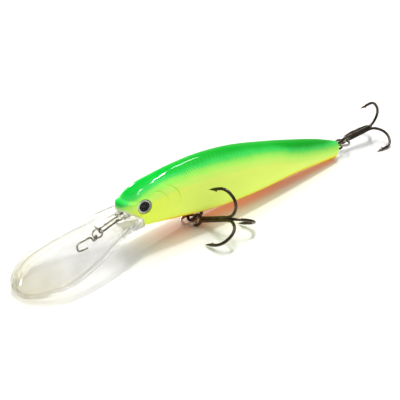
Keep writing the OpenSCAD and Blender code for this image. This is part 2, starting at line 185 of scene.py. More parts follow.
def solid_volume(obj):
    m = obj.data
    co = np.zeros(len(m.vertices) * 3)
    m.vertices.foreach_get("co", co)
    co = co.reshape(-1, 3)
    m.calc_loop_triangles()
    tri = np.zeros(len(m.loop_triangles) * 3, int)
    m.loop_triangles.foreach_get("vertices", tri)
    p = co[tri.reshape(-1, 3)]
    return float(np.einsum("ij,ij->i", p[:, 0], np.cross(p[:, 1], p[:, 2])).sum() / 6)


def face_outwards(obj):
    if solid_volume(obj) < 0:
        obj.data.flip_normals()
    return obj


def apply_modifiers(obj):
    dg = bpy.context.evaluated_depsgraph_get()
    mesh = bpy.data.meshes.new_from_object(obj.evaluated_get(dg), depsgraph=dg)
    old = obj.data
    obj.modifiers.clear()
    obj.data = mesh
    mesh.name = obj.name
    bpy.data.meshes.remove(old)
    return obj


def combine(obj, tool, how="DIFFERENCE"):
    """Boolean of obj with tool, which is used up."""
    mod = obj.modifiers.new("cut", "BOOLEAN")
    mod.operation = how
    mod.object = tool
    mod.solver = "MANIFOLD"
    bpy.context.view_layer.update()
    apply_modifiers(obj)
    bpy.data.objects.remove(tool)
    return obj


def sharpen(obj, degrees=32):
    obj.data.polygons.foreach_set("use_smooth", [True] * len(obj.data.polygons))
    obj.data.set_sharp_from_angle(angle=math.radians(degrees))
    return obj


def sweep(path, radius, sides, closed=False):
    """Round wire along a path; returns vertices and faces, facing out."""
    p = np.asarray(path, float)
    n = len(p)
    r = np.broadcast_to(np.asarray(radius, float), (n,))
    nxt = np.roll(p, -1, 0) if closed else np.vstack([p[1:], p[-1:]])
    prv = np.roll(p, 1, 0) if closed else np.vstack([p[:1], p[:-1]])
    t = nxt - prv
    t /= np.linalg.norm(t, axis=1)[:, None]
    ref = np.array([0.0, 0, 1]) if abs(t[0][2]) < 0.8 else np.array([0.0, 1, 0])
    u = np.cross(t[0], ref)
    u /= np.linalg.norm(u)
    frames = []
    for i in range(n):
        u = u - t[i] * np.dot(u, t[i])
        u /= np.linalg.norm(u)
        frames.append(u.copy())
    frames = np.array(frames)
    if closed:
        last = frames[-1] - t[0] * np.dot(frames[-1], t[0])
        last /= np.linalg.norm(last)
        w0 = np.cross(t[0], frames[0])
        twist = math.atan2(np.dot(last, w0), np.dot(last, frames[0]))
        for i in range(n):
            a = -twist * i / n
            w = np.cross(t[i], frames[i])
            frames[i] = frames[i] * math.cos(a) + w * math.sin(a)
    k = np.arange(sides) * 2 * math.pi / sides
    w = np.cross(t, frames)
    spokes = np.cos(k)[None, :, None] * frames[:, None] + np.sin(k)[None, :, None] * w[:, None]
    verts = (p[:, None] + r[:, None, None] * spokes).reshape(-1, 3)
    if closed:
        faces, last = tube_faces(n, sides), (n - 1) * sides
        faces += [(last + j, last + (j + 1) % sides, (j + 1) % sides, j) for j in range(sides)]
    else:
        faces = capped_faces(n, sides)
    return verts, [tuple(reversed(f)) for f in faces]


def rounded_wire(path, radius, sides):
    """Wire with small rounded ends."""
    p = np.asarray(path, float)
    d0 = p[0] - p[1]
    d0 /= np.linalg.norm(d0)
    d1 = p[-1] - p[-2]
    d1 /= np.linalg.norm(d1)
    r = np.broadcast_to(np.asarray(radius, float), (len(p),)).copy()
    steps = [0.35, 0.7, 0.93]
    head = [p[0] + d0 * r[0] * 0.5 * k for k in reversed(steps)]
    tail = [p[-1] + d1 * r[-1] * 0.5 * k for k in steps]
    rr = [math.sqrt(1 - k * k) for k in steps]
    path2 = np.vstack([head, p, tail])
    r2 = np.concatenate([[r[0] * k for k in reversed(rr)], r, [r[-1] * k for k in rr]])
    return sweep(path2, r2, sides)


def merge_parts(parts):
    verts, faces, base = [], [], 0
    for v, f in parts:
        verts.append(np.asarray(v, float))
        faces += [tuple(i + base for i in g) for g in f]
        base += len(v)
    return np.vstack(verts), faces


def dense(points, step):
    """Points along a smooth curve through the given points, about step apart."""
    p = np.asarray(points, float)
    d = np.concatenate([[0], np.cumsum(np.linalg.norm(np.diff(p, axis=0), axis=1))])
    t = np.linspace(0, d[-1], max(3, int(d[-1] / step) + 1))
    return np.stack([curve(list(zip(d, p[:, k])), t) for k in range(p.shape[1])], -1)


def lathe(profile, sides=96):
    """Turned form about Z from (r, z) rows that start and end on the axis."""
    prof = np.asarray(profile, float)
    a = np.arange(sides) * 2 * math.pi / sides
    mid = prof[1:-1]
    verts = [[0, 0, prof[0][1]]]
    for r, z in mid:
        verts += [[r * math.cos(k), r * math.sin(k), z] for k in a]
    verts.append([0, 0, prof[-1][1]])
    faces = [(0, 1 + (j + 1) % sides, 1 + j) for j in range(sides)]
    for i in range(len(mid) - 1):
        for j in range(sides):
            p, q = 1 + i * sides + j, 1 + i * sides + (j + 1) % sides
            faces.append((p, q, q + sides, p + sides))
    base, top = 1 + (len(mid) - 1) * sides, len(verts) - 1
    faces += [(base + j, base + (j + 1) % sides, top) for j in range(sides)]
    return np.array(verts), faces


# ---------------------------------------------------------------- node trees
class Graph:
    """Short way of writing a node tree."""

    def __init__(self, tree):
        self.tree = tree
        self.tree.nodes.clear()

    def add(self, kind, **props):
        node = self.tree.nodes.new(kind)
        for k, v in props.items():
            setattr(node, k, v)
        return node

    def link(self, a, b):
        self.tree.links.new(a, b)

    def put(self, socket, value):
        if isinstance(value, bpy.types.NodeSocket):
            self.link(value, socket)
        else:
            socket.default_value = value

    def math(self, op, a, b=0.0, c=None, clamp=False):
        n = self.add("ShaderNodeMath", operation=op, use_clamp=clamp)
        self.put(n.inputs[0], a)
        self.put(n.inputs[1], b)
        if c is not None:
            self.put(n.inputs[2], c)
        return n.outputs[0]

    def mul(self, a, b):
        return self.math("MULTIPLY", a, b)

    def plus(self, a, b):
        return self.math("ADD", a, b)

    def sub(self, a, b):
        return self.math("SUBTRACT", a, b)

    def size(self, a):
        return self.math("ABSOLUTE", a)

    def ramp(self, x, a, b, lo=0.0, hi=1.0):
        """Soft step from lo at a to hi at b."""
        n = self.add("ShaderNodeMapRange", interpolation_type="SMOOTHSTEP")
        self.put(n.inputs["Value"], x)
        for name, value in (("From Min", a), ("From Max", b), ("To Min", lo), ("To Max", hi)):
            n.inputs[name].default_value = value
        return n.outputs["Result"]

    def split(self, vec):
        n = self.add("ShaderNodeSeparateXYZ")
        self.link(vec, n.inputs[0])
        return n.outputs[0], n.outputs[1], n.outputs[2]


class Surface(Graph):
    """Material with one Principled shader."""

    def __init__(self, name):
        self.material = bpy.data.materials.new(name)
        self.material.use_nodes = True
        super().__init__(self.material.node_tree)
        self.bsdf = self.add("ShaderNodeBsdfPrincipled")
        out = self.add("ShaderNodeOutputMaterial")
        self.link(self.bsdf.outputs["BSDF"], out.inputs["Surface"])

    def set(self, **values):
        for k, v in values.items():
            self.bsdf.inputs[k.replace("_", " ")].default_value = v

    def feed(self, name, socket):
        self.link(socket, self.bsdf.inputs[name])

    def mix(self, f, a, b):
        n = self.add("ShaderNodeMix", data_type="RGBA", blend_type="MIX", clamp_factor=True)
        self.put(n.inputs[0], f)
        self.put(n.inputs[6], a)
        self.put(n.inputs[7], b)
        return n.outputs[2]

    def object_mm(self):
        tc = self.add("ShaderNodeTexCoord")
        sc = self.add("ShaderNodeVectorMath", operation="SCALE")
        self.link(tc.outputs["Object"], sc.inputs[0])
        sc.inputs["Scale"].default_value = 1 / MM
        return sc.outputs[0]

    def lure_mm(self):
        """Object coordinates turned into the lure frame."""
        n = self.add("ShaderNodeMapping", vector_type="TEXTURE")
        self.link(self.object_mm(), n.inputs["Vector"])
        n.inputs["Location"].default_value = tuple(NOSE)
        n.inputs["Rotation"].default_value = (0, PITCH, 0)
        return n.outputs[0]

    def noise(self, vec, scale, detail, rough=0.5):
        n = self.add("ShaderNodeTexNoise")
        self.link(vec, n.inputs["Vector"])
        n.inputs["Scale"].default_value = scale
        n.inputs["Detail"].default_value = detail
        n.inputs["Roughness"].default_value = rough
        return n.outputs["Fac"]

    def profile(self, x, rows, lo=0.0, hi=LENGTH, top=10.0):
        """Smooth function of x through the given points (x, value)."""
        n = self.add("ShaderNodeFloatCurve")
        self.link(self.math("DIVIDE", self.sub(x, lo), hi - lo), n.inputs["Value"])
        c = n.mapping.curves[0]
        pts = [((a - lo) / (hi - lo), b / top) for a, b in rows]
        while len(c.points) < len(pts):
            c.points.new(0.5, 0.5)
        for point, (a, b) in zip(c.points, pts):
            point.location = (a, b)
        n.mapping.use_clip = False
        n.mapping.update()
        return self.mul(n.outputs["Value"], top)

    def bump(self, height, strength, distance):
        n = self.add("ShaderNodeBump")
        n.inputs["Strength"].default_value = strength
        n.inputs["Distance"].default_value = distance * MM
        self.link(height, n.inputs["Height"])
        self.feed("Normal", n.outputs["Normal"])


def rgb(r, g, b):
    """sRGB 0..255 to linear colour."""
    def f(c):
        c /= 255
        return c / 12.92 if c <= 0.04045 else ((c + 0.055) / 1.055) ** 2.4
    return (f(r), f(g), f(b), 1)


# ---------------------------------------------------------------- materials
# jaw line: where the paint ends and the clear chin begins, from the mouth down and back
JAW = [(-1.3, -1.35), (-0.25, -1.6), (0.76, -2.2), (2, -2.7), (4, -3.6), (4.6, -4.4), (5.1, -6), (6, -7.6)]
# height of the lower edge of the green, and depth of the upper edge of the orange, from the nose back
GREEN_EDGE = [(0, 0.2), (1, 0.85), (2, 1.25), (3, 1.8), (5, 2.75), (7, 3.4), (10, 4.15), (14, 4.85),
              (18, 5.35), (24, 5.8), (30, 5.9), (38, 5.65), (46, 4.85), (54, 3.25), (62, 2.2), (70, 1.5),
              (75, 1.2)]
BELLY_EDGE = [(0, 8.5), (8, 6.6), (14, 5.8), (24, 6.0), (30, 5.9), (38, 5.2), (46, 4.1), (54, 2.95),
              (62, 2.45), (70, 2.05), (75, 1.9)]
# gill lines, engraved, with painted shade drawn along the same ellipses to darken the grooves:
# centre s and h, radii along s and h, where the painted shade fades in along s, strength of the painted
# shade
GILL_LINES = ((8.6, -0.1, 5.1, 3.85, 9.2, 11.4, 0.6), (6.6, -0.6, 3.9, 3.3, 6.6, 7.4, 0.5))
ROW_PITCH, TIER_PITCH = 0.55, 1.1  # painted scale rows: along the body, and slanting


def scale_rows(m, s, h):
    """Fine upright rows, from -1 to 1."""
    row = m.math("SINE", m.mul(s, 2 * math.pi / ROW_PITCH))
    tier = m.math("SINE", m.plus(m.mul(h, 2 * math.pi / TIER_PITCH), m.mul(s, 2 * math.pi / TIER_PITCH)))
    return m.plus(m.mul(row, 0.7), m.mul(tier, 0.3))


def above_green_edge(m, p, s, h, rows, scaled):
    """Height over the edge of the green, broken up by noise and scale rows, and steeper on the head."""
    above = m.sub(h, m.profile(s, GREEN_EDGE))
    above = m.plus(above, m.mul(m.sub(m.noise(p, 0.3, 2), 0.5), 0.5))
    above = m.plus(above, m.mul(m.mul(rows, scaled), 0.28))
    steeper = m.mul(m.ramp(above, -0.2, 0.2), m.ramp(s, 28, 12, 0.0, 0.7))
    return m.mul(above, m.plus(1.0, steeper))


def flank_and_back(m, s, h, above, rows, scaled):
    """Yellow flank rising through paler greens to the green back."""
    col = m.mix(m.ramp(s, 2, 20), rgb(219, 241, 74), rgb(223, 245, 116))
    col = m.mix(m.ramp(s, 45, 72), col, rgb(220, 247, 128))
    green = m.mix(m.ramp(s, 6, 30), rgb(4, 192, 54), rgb(0, 166, 42))
    green = m.mix(m.ramp(s, 40, 60), green, rgb(0, 152, 36))
    for start, end, colour in ((-3.2, -1.65, rgb(188, 240, 112)), (-1.65, -0.45, rgb(134, 232, 98)),
                               (-0.45, 0.65, rgb(58, 216, 92)), (0.65, 1.8, green)):
        col = m.mix(m.ramp(above, start, end), col, colour)
    # the scale rows show faintly on the flank
    hatch = m.mul(m.ramp(rows, 0.1, 0.9), m.mul(scaled, m.ramp(h, -4.5, 1.0, 0.03, 0.2)))
    return m.mix(hatch, col, rgb(130, 206, 62))


def gill_groove_shade(m, s, h, line):
    """Strength of the painted shade along one engraved gill groove, on part of an ellipse."""
    mid_s, mid_h, radius_s, radius_h, fade_from, fade_to, strength = line
    u = m.math("DIVIDE", m.sub(s, mid_s), radius_s)
    w = m.math("DIVIDE", m.sub(h, mid_h), radius_h)
    off = m.size(m.sub(m.math("SQRT", m.plus(m.mul(u, u), m.mul(w, w))), 1.0))
    shown = m.mul(m.ramp(s, fade_from, fade_to), m.ramp(h, -1.5, 2.6))
    return m.mul(m.mul(m.ramp(off, 0.085, 0.0), shown), strength)


def bare_plastic(m, s, h):
    """1 where the paint has thinned out to clear plastic, at the mouth and along the jaw."""
    over = m.sub(h, m.profile(s, JAW + [(LENGTH, -8)], JAW[0][0]))
    thin = m.mul(m.ramp(over, 0.85, 0.2), m.ramp(s, 3.6, 1.0))
    cut_edge = m.mul(m.ramp(over, 0.17, 0.13), m.ramp(s, 6.4, 6.1))
    return m.math("MAXIMUM", thin, cut_edge)


def body_paint():
    m = Surface("fluorescent_paint")
    p = m.lure_mm()
    s, y, h = m.split(p)
    rows = scale_rows(m, s, h)
    scaled = m.ramp(s, 10, 17)
    above = above_green_edge(m, p, s, h, rows, scaled)
    col = flank_and_back(m, s, h, above, rows, scaled)
    # orange belly with a soft yellow edge
    belly_edge = m.profile(s, BELLY_EDGE)
    below = m.plus(h, belly_edge)
    belly = m.ramp(below, 0.45, -0.7)
    warm = m.ramp(below, 1.4, 0.1)
    col = m.mix(m.mul(warm, 0.85), col, rgb(236, 196, 26))
    col = m.mix(belly, col, rgb(186, 104, 8))
    # darker green along the gill grooves: painted shade in the engraved lines
    for line in GILL_LINES:
        col = m.mix(gill_groove_shade(m, s, h, line), col, rgb(104, 190, 20))
    bare = bare_plastic(m, s, h)
    m.feed("Base Color", m.mix(m.mul(bare, 0.85), col, rgb(236, 240, 214)))
    # painted glow: emission stands in for light passing through the translucent body and for fill light on
    # the flank and back; it is strongest on the underside, where it throws orange light onto the floor in
    # the shade below
    underside_glow = m.ramp(m.math("DIVIDE", m.size(y), belly_edge), 0.52, 0.3)
    # orange painted glow on the underside, fainter towards the visible belly edge
    orange = m.mix(m.mul(underside_glow, belly), rgb(44, 26, 0), rgb(192, 106, 0))
    painted_glow = m.mix(belly, rgb(120, 130, 38), orange)
    painted_glow = m.mix(m.ramp(above, -1.2, 1.2), painted_glow, rgb(0, 50, 8))
    # the bare plastic at the mouth gets a pale painted glow too
    m.feed("Emission Color", m.mix(bare, painted_glow, rgb(60, 62, 50)))
    m.feed("Coat Weight", m.sub(0.3, m.mul(warm, 0.24)))
    # Emission_Strength scales the painted glow
    m.set(Roughness=0.4, Coat_Roughness=0.015, Coat_IOR=1.5, IOR=1.5, Specular_IOR_Level=0.0,
          Emission_Strength=1.05)
    return m.material


def lens_plastic():
    m = Surface("eye_lens_clear")
    m.set(Base_Color=(1, 1, 1, 1), IOR=1.6, Alpha=0.05, Transmission_Weight=1.0)
    m.feed("Roughness", m.ramp(m.noise(m.object_mm(), 0.6, 3), 0.45, 0.75, 0.01, 0.06))
    return m.material


def metal(name, dark, light, rough, scale=1.2):
    m = Surface(name)
    p = m.object_mm()
    m.feed("Base Color", m.mix(m.ramp(m.noise(p, scale, 4, 0.6), 0.35, 0.7), dark, light))
    m.set(Metallic=1.0)
    m.feed("Roughness", m.ramp(m.noise(p, scale * 2.5, 3), 0.3, 0.75, rough, rough * 1.9))
    m.bump(m.noise(p, scale * 5, 3), 0.08, 0.02)
    return m.material


def lip_places(m, p):
    """Distance along the lip, height over its plane, and distance in from its edge."""
    x, y, z = m.split(p)
    dx, dz = m.sub(x, float(LIP_ORIGIN[0])), m.sub(z, float(LIP_ORIGIN[2]))
    c, k = math.cos(LIP_ANGLE), math.sin(LIP_ANGLE)
    q = m.sub(m.mul(dx, -c), m.mul(dz, k))
    n = m.sub(m.mul(dz, c), m.mul(dx, k))
    side = m.size(m.sub(y, float(LIP_ORIGIN[1])))
    gap = m.sub(m.profile(q, LIP[1:], 0, 33), side)
    return q, n, m.math("SMOOTH_MIN", gap, m.sub(LIP_LENGTH, q), 1.2)


def lip_plastic():
    """Clear plastic of the lip: nearly invisible in the middle, firmer at its root, and firmer and darker
    along its rim, where the lines are painted shade in place of the dark edges that refraction gives clear
    plastic.
    """
    m = Surface("clear_lip_plastic")
    p = m.object_mm()
    q, n, gap = lip_places(m, p)
    # painted shade: firm, dark-tinted lines along the rim and its inner ledge stand in for edges darkened by
    # refraction
    rim_shade_crest = m.ramp(m.size(m.sub(gap, 0.1)), 0.24, 0.08)
    rim_shade_ledge = m.ramp(m.size(m.sub(gap, 1.25)), 0.34, 0.1)
    wall = m.mul(m.ramp(gap, 0.12, 0.02), m.ramp(m.size(m.plus(n, 0.65)), 0.6, 0.4))
    painted_rim_shade = m.math("MAXIMUM", m.mul(rim_shade_crest, 0.95), m.mul(rim_shade_ledge, 0.8))
    painted_rim_shade = m.math("SUBTRACT", painted_rim_shade, m.mul(wall, 0.8), clamp=True)
    root = m.ramp(q, 8.0, 4.5)
    solid = m.plus(m.ramp(m.noise(p, 0.12, 2), 0.3, 0.7, 0.23, 0.37), m.ramp(q, 18, 30, 0.0, 0.1))
    solid = m.math("MAXIMUM", solid, painted_rim_shade)
    m.feed("Alpha", m.math("MAXIMUM", solid, m.mul(root, 0.8)))
    tint = m.mix(m.ramp(q, 12, 30), (0.56, 0.55, 0.5, 1), (0.56, 0.52, 0.3, 1))
    m.feed("Base Color", m.mix(root, tint, (0.93, 0.92, 0.86, 1)))
    m.set(IOR=1.49, Transmission_Weight=1.0)
    m.feed("Roughness", m.ramp(m.noise(p, 0.6, 3), 0.45, 0.75, 0.015, 0.06))
    m.bump(m.noise(p, 0.25, 1.5), 0.12, 0.25)
    return m.material


# seat of each eye: place in the lure frame, turn towards the nose, radius and depth of the socket
EYE = dict(s=4.0, h=-0.45, y=3.62, yaw=math.radians(14), r=1.7, depth=0.6)


def foil_material():
    """Silver foil with a dark line round its edge."""
    m = Surface("eye_foil_silver")
    p = m.object_mm()
    silver = m.mix(m.noise(p, 2.0, 3), (0.5, 0.51, 0.48, 1), (0.78, 0.79, 0.76, 1))
    s, _, h = m.split(m.lure_mm())
    ds = m.mul(m.sub(s, EYE["s"]), 1 / math.cos(EYE["yaw"]))
    dh = m.sub(h, EYE["h"])
    radius = m.math("SQRT", m.plus(m.mul(ds, ds), m.mul(dh, dh)))
    m.feed("Base Color", m.mix(m.ramp(radius, 1.46, 1.58), silver, (0.05, 0.055, 0.04, 1)))
    m.set(Metallic=1.0, Roughness=0.3)
    m.bump(m.noise(p, 6.0, 2), 0.1, 0.02)
    return m.material


def black_paint():
    m = Surface("pupil_black")
    black = m.mix(m.noise(m.object_mm(), 3.0, 2), (0.006, 0.006, 0.008, 1), (0.012, 0.012, 0.014, 1))
    m.feed("Base Color", black)
    m.set(Roughness=0.35, Specular_IOR_Level=0.03)
    return m.material


PAINT = body_paint()
CLEAR = lip_plastic()
LENS = lens_plastic()
NICKEL = metal("black_nickel_plate", (0.055, 0.042, 0.03, 1), (0.10, 0.08, 0.058, 1), 0.16)
RING = metal("split_ring_steel", (0.42, 0.38, 0.33, 1), (0.62, 0.58, 0.52, 1), 0.16)
TIE = metal("tie_wire_steel", (0.16, 0.14, 0.10, 1), (0.34, 0.30, 0.24, 1), 0.18)
TAB = metal("tab_steel_bright", (0.62, 0.64, 0.52, 1), (0.82, 0.84, 0.72, 1), 0.3)
LEAD = metal("weight_alloy", (0.3, 0.3, 0.32, 1), (0.5, 0.5, 0.52, 1), 0.35, 0.8)
FOIL = foil_material()
PUPIL = black_paint()


def finish_piece(obj, material, body, slot, *nodes):
    """Gives a piece its material and its body, and hides the CAD nodes that it stands for."""
    obj.data.materials.clear()
    obj.data.materials.append(material)
    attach(obj, body)
    if nodes:
        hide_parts(*nodes)
    return obj


# ---------------------------------------------------------------- painted body
def arc_groove(s, h, cs, ch, rs, rh, a0, a1, width, depth):
    """Engraved line along part of an ellipse in the side view."""
    x, z = (s - cs) / rs, (h - ch) / rh
    rad = np.hypot(x, z)
    off = (rad - 1) * (rs + rh) / 2
    ang = np.degrees(np.arctan2(z, x))
    mid, half = (a0 + a1) / 2, (a1 - a0) / 2
    da = np.abs((ang - mid + 180) % 360 - 180)
    fade = smooth(half - da, 0, 14)
    return -depth * fade * np.exp(-(off / width) ** 2)


RELIEF_ROW, RELIEF_TIER = 0.62, 1.5  # moulded scale rows: along the body, and up the flank


def body_relief(s, y, h):
    """Moulded detail, as height over the smooth form."""
    out = np.zeros_like(s)
    flank = smooth(np.abs(y), 0.6, 2.0)
    # gill cover: raised plate with an open rear edge
    x, z = (s - 8.6) / 5.0, (h + 0.1) / 3.75
    r = np.hypot(x, z)
    rear = smooth(s, 7.0, 10.5)
    out += flank * rear * 0.13 * (1 - smooth(r, 0.97, 1.03)) * smooth(r, 0.45, 0.9)
    for line, (start, end, depth) in zip(GILL_LINES, ((-62, 62, 0.16), (50, 84, 0.15))):
        out += flank * arc_groove(s, h, *line[:4], start, end, 0.17, depth)
    out += flank * arc_groove(s, h, 6.2, -0.5, 4.0, 3.2, -60, 10, 0.3, 0.05)
    # scales behind the gill cover
    row = 2 * np.pi * s / RELIEF_ROW
    tier = 2 * np.pi * h / RELIEF_TIER
    scales = 0.5 * np.sin(row) + 0.32 * np.sin(row * 0.5 + tier)
    where = smooth(s, 13.5, 17) * (1 - smooth(s, 71, 73.5)) * smooth(np.abs(y), 0.8, 2.2)
    out += 0.022 * scales * where * (0.35 + 0.65 * smooth(h, -3, 2))
    # breast fin
    u, v = s - 17.4, h + 1.0
    fx = u * math.cos(0.62) - v * math.sin(0.62)
    fz = u * math.sin(0.62) + v * math.cos(0.62)
    fin = smooth(1 - ((fx - 3.2) / 3.9) ** 2 - (fz / 1.45) ** 2, 0, 0.25)
    rays = 0.03 * np.cos(2 * np.pi * fz / 0.55 / (0.6 + 0.12 * np.clip(fx, 0, 8)))
    out += flank * fin * (0.07 + rays)
    # lateral line
    line = curve([(13, 1.1), (24, 0.7), (40, 0.25), (56, -0.1), (73, -0.5)], np.clip(s, 13, 73))
    out -= 0.03 * flank * smooth(s, 15, 19) * (1 - smooth(s, 68, 72)) * np.exp(-((h - line) / 0.22) ** 2)
    # rim of the eye socket
    e = np.hypot(s - EYE["s"], h - EYE["h"])
    out += 0.09 * flank * smooth(e, 1.65, 1.85) * (1 - smooth(e, 1.95, 2.35))
    return out


def body_grid(around, steps):
    """The smooth form as rings of s, y and h, set closer together at the rounded ends."""
    nose = NOSE_ROUND * (1 - np.cos(np.linspace(0, math.pi / 2, 46)[1:]))
    middle = np.linspace(NOSE_ROUND, TAIL_START, steps)[1:]
    tail = TAIL_START + TAIL_ROUND * np.sin(np.linspace(0, math.pi / 2, 12)[1:])
    s = np.concatenate([nose, middle, tail[:-1], [LENGTH - 0.005]])
    angle = np.radians(np.linspace(-90, 270, around, endpoint=False))
    s, angle = np.meshgrid(s, angle, indexing="ij")
    left_over = end_scale(s)
    y = curve(WIDE, s) * left_over * squared(np.cos(angle))
    rise = squared(np.sin(angle))
    h = np.where(rise > 0, curve(TOP, s), curve(LOW, s)) * left_over * rise
    return s, y, h


def nose_point():
    return [[-float(mouth(0, 0)), 0, 0]]


def body_skin(name, ring):
    """One half of the body, closed along the centre plane and at both ends."""
    ring[:, 0, 1] = 0
    ring[:, -1, 1] = 0
    rows, cols = ring.shape[:2]
    verts = np.vstack([ring.reshape(-1, 3), nose_point(), [[LENGTH, 0, -0.3]]])
    nose, tail, last = rows * cols, rows * cols + 1, (rows - 1) * cols
    faces = tube_faces(rows, cols)
    faces += [(nose, (j + 1) % cols, j) for j in range(cols)]
    faces += [(tail, last + j, last + (j + 1) % cols) for j in range(cols)]
    return face_outwards(make_object(name, verts, [tuple(reversed(f)) for f in faces], LURE_MATRIX))


def build_body(around=256, steps=520):
    """Right and left halves with the moulded detail raised along the normals."""
    s, y, h = body_grid(around, steps)
    points = np.stack([s - mouth(s, h), y, h], -1)
    along = np.gradient(points, axis=0)
    across = np.roll(points, -1, 1) - np.roll(points, 1, 1)
    normal = np.cross(across, along)
    normal /= np.linalg.norm(normal, axis=-1)[..., None] + 1e-12
    if normal[:, around // 4, 1].mean() < 0:
        normal = -normal
    points = points + normal * body_relief(s, y, h)[..., None]
    right = np.arange(0, around // 2 + 1)
    left = np.arange(around // 2, around + 1) % around
    return body_skin("right_body_skin", points[:, right]), body_skin("left_body_skin", points[:, left])


def prism(name, outline, y0, y1, matrix=None):
    """Straight prism over an outline in the (x, z) plane."""
    n = len(outline)
    verts = [[x, y0, z] for x, z in outline] + [[x, y1, z] for x, z in outline]
    faces = [tuple(range(n)), tuple(reversed(range(n, 2 * n)))]
    faces += [(i, i + n, (i + 1) % n + n, (i + 1) % n) for i in range(n)]
    return face_outwards(make_object(name, verts, faces, matrix, False))


def chin_tool(offset):
    """Everything in front of and below the jaw line, moved up and back by the offset."""
    outline = [(-66, 52.5)] + JAW + [(8, -12.7)]
    outline = [(a + 0.8 * offset, b + offset) for a, b in outline] + [(-41.6, -78.7), (-121, -12.7)]
    return prism("chin_tool", outline, -20, 20, LURE_MATRIX)


def eye_matrix(side):
    """Frame at the eye seat: Z points straight out of the flank."""
    c, s = math.cos(EYE["yaw"]), math.sin(EYE["yaw"])
    out = Vector((-s, c, 0))
    x = Vector((c, s, 0))
    z = Vector((0, 0, 1))
    rot = Matrix((x, -z, out)).transposed()
    if side < 0:
        # mirrored to the left flank, with one axis turned round so that it stays right-handed
        mirror = Matrix.Scale(-1, 3, Vector((0, 1, 0)))
        rot = mirror @ rot
        rot = Matrix((rot.col[0], -rot.col[1], rot.col[2])).transposed()
    m = rot.to_4x4()
    m.translation = Vector((EYE["s"], EYE["y"] * side, EYE["h"])) * MM
    return LURE_MATRIX @ m


def cut_openings(skin, side):
    """Takes the clear chin and the eye socket out of one half."""
    combine(skin, chin_tool(0.025))
    radius, bottom, top = EYE["r"] + 0.1, -EYE["depth"] - 0.02, 3
    v, f = lathe([(0, bottom), (radius, bottom), (radius, top), (0, top)], 72)
    combine(skin, face_outwards(make_object("socket_tool", v, f, eye_matrix(side))))
    sharpen(skin, 38)


right_skin, left_skin = build_body()
cut_openings(right_skin, 1)
cut_openings(left_skin, -1)
finish_piece(left_skin, PAINT, "lure_body", "painted_body", "left_body_shell")
finish_piece(right_skin, PAINT, "lure_body", "painted_body", "right_body_shell")


# ---------------------------------------------------------------- clear lip
def lip_profile(q, y, low):
    """Height of the lip's upper face, or of its lower one: a dished plate with a bead along its rim."""
    gap = np.minimum(curve(LIP, q) - np.abs(y), LIP_LENGTH - q)
    dish = smooth(gap, 0, 2.2)
    bead = 0.16 * smooth(gap, 0.1, 0.45) * (1 - smooth(gap, 0.75, 1.25))
    return -1.3 - 1.1 * dish - bead if low else -1.3 * dish + bead


def lip_rim(top, low, side):
    """Softly rounded edge between the two faces, on the side that is given as 1 or -1."""
    mid, half = (top + low) / 2, (top - low) / 2
    out = np.array([0, side * 0.16, 0])
    turns = np.linspace(0, math.pi, 9)[1:-1]
    return np.stack([mid + half * math.cos(t) + out * math.sin(t) for t in turns], 1)


def build_lip(across=72):
    tip = 28 + 4.3 * np.sin(np.linspace(0, math.pi / 2, 34))[1:]
    q = np.concatenate([np.linspace(-3, 28, 125), tip])
    q[-1] = LIP_LENGTH - 0.001
    q, share = np.meshgrid(q, np.cos(np.linspace(0, math.pi, across + 1)), indexing="ij")
    y = curve(LIP, q) * share
    top = np.stack([q, y, lip_profile(q, y, False)], -1)
    low = np.stack([q, y, lip_profile(q, y, True)], -1)
    right, left = lip_rim(top[:, 0], low[:, 0], 1), lip_rim(top[:, across], low[:, across], -1)
    ring = np.concatenate([top, left, low[:, ::-1], right[:, ::-1]], 1)
    faces = capped_faces(*ring.shape[:2])
    return face_outwards(make_object("lip_plate", lip_to_row(ring.reshape(-1, 3)), faces))


def ring_hull(name, sections):
    """Solid lofted through rounded rectangles (q, half width, n low, n high) in the lip frame."""
    a = np.linspace(0, 2 * math.pi, 40, endpoint=False)
    cx = np.sign(np.cos(a)) * np.abs(np.cos(a)) ** 0.5
    cz = np.sign(np.sin(a)) * np.abs(np.sin(a)) ** 0.5
    ring = np.array([np.stack([np.full_like(a, q), w * cx, (n0 + n1) / 2 + (n1 - n0) / 2 * cz], -1)
                     for q, w, n0, n1 in sections])
    return face_outwards(make_object(name, lip_to_row(ring.reshape(-1, 3)), capped_faces(*ring.shape[:2])))


def clear_chin():
    """The body form below the jaw line, in clear plastic."""
    s, y, h = body_grid(128, 150)
    points = np.stack([s - mouth(s, h), y, h], -1)[s[:, 0] < 14]
    rows, cols = points.shape[:2]
    faces = tube_faces(rows, cols)
    faces += [(rows * cols, (j + 1) % cols, j) for j in range(cols)]
    faces.append(tuple(range((rows - 1) * cols, rows * cols)))
    verts = np.vstack([points.reshape(-1, 3), nose_point()])
    form = face_outwards(make_object("chin_form", verts, faces, LURE_MATRIX))
    return combine(form, chin_tool(0), "INTERSECT")


def lip_boss(half_width=0.8):
    """Small block on the root, which the line tie comes out of."""
    outline = [(0.6, -2), (4.1, -2), (3.9, 0.5), (3.5, 0.95), (0.6, 1.0)]
    boss = prism("boss", outline, -half_width, half_width)
    points = lip_to_row(np.array([v.co for v in boss.data.vertices]) / MM) * MM
    for vertex, place in zip(boss.data.vertices, points):
        vertex.co = place
    return face_outwards(boss)


def diving_lip():
    lip = build_lip()
    boss = lip_boss()
    collar = ring_hull("collar", [(-0.6, 3.3, -4.8, -1.2), (0.6, 3.5, -4.4, -1.3), (2.5, 4.2, -3.5, -1.5),
                                  (5, 4.45, -2.75, -1.5), (7.9, 4.6, -2.2, -1.55)])
    combine(lip, collar, "UNION")
    combine(lip, boss, "UNION")
    chin = clear_chin()
    combine(lip, chin_tool(0), "INTERSECT")
    combine(lip, chin, "UNION")
    sharpen(lip, 30)
    lip.name = "clear_diving_lip"
    finish_piece(lip, CLEAR, "lure_body", "clear_lip", "diving_lip")


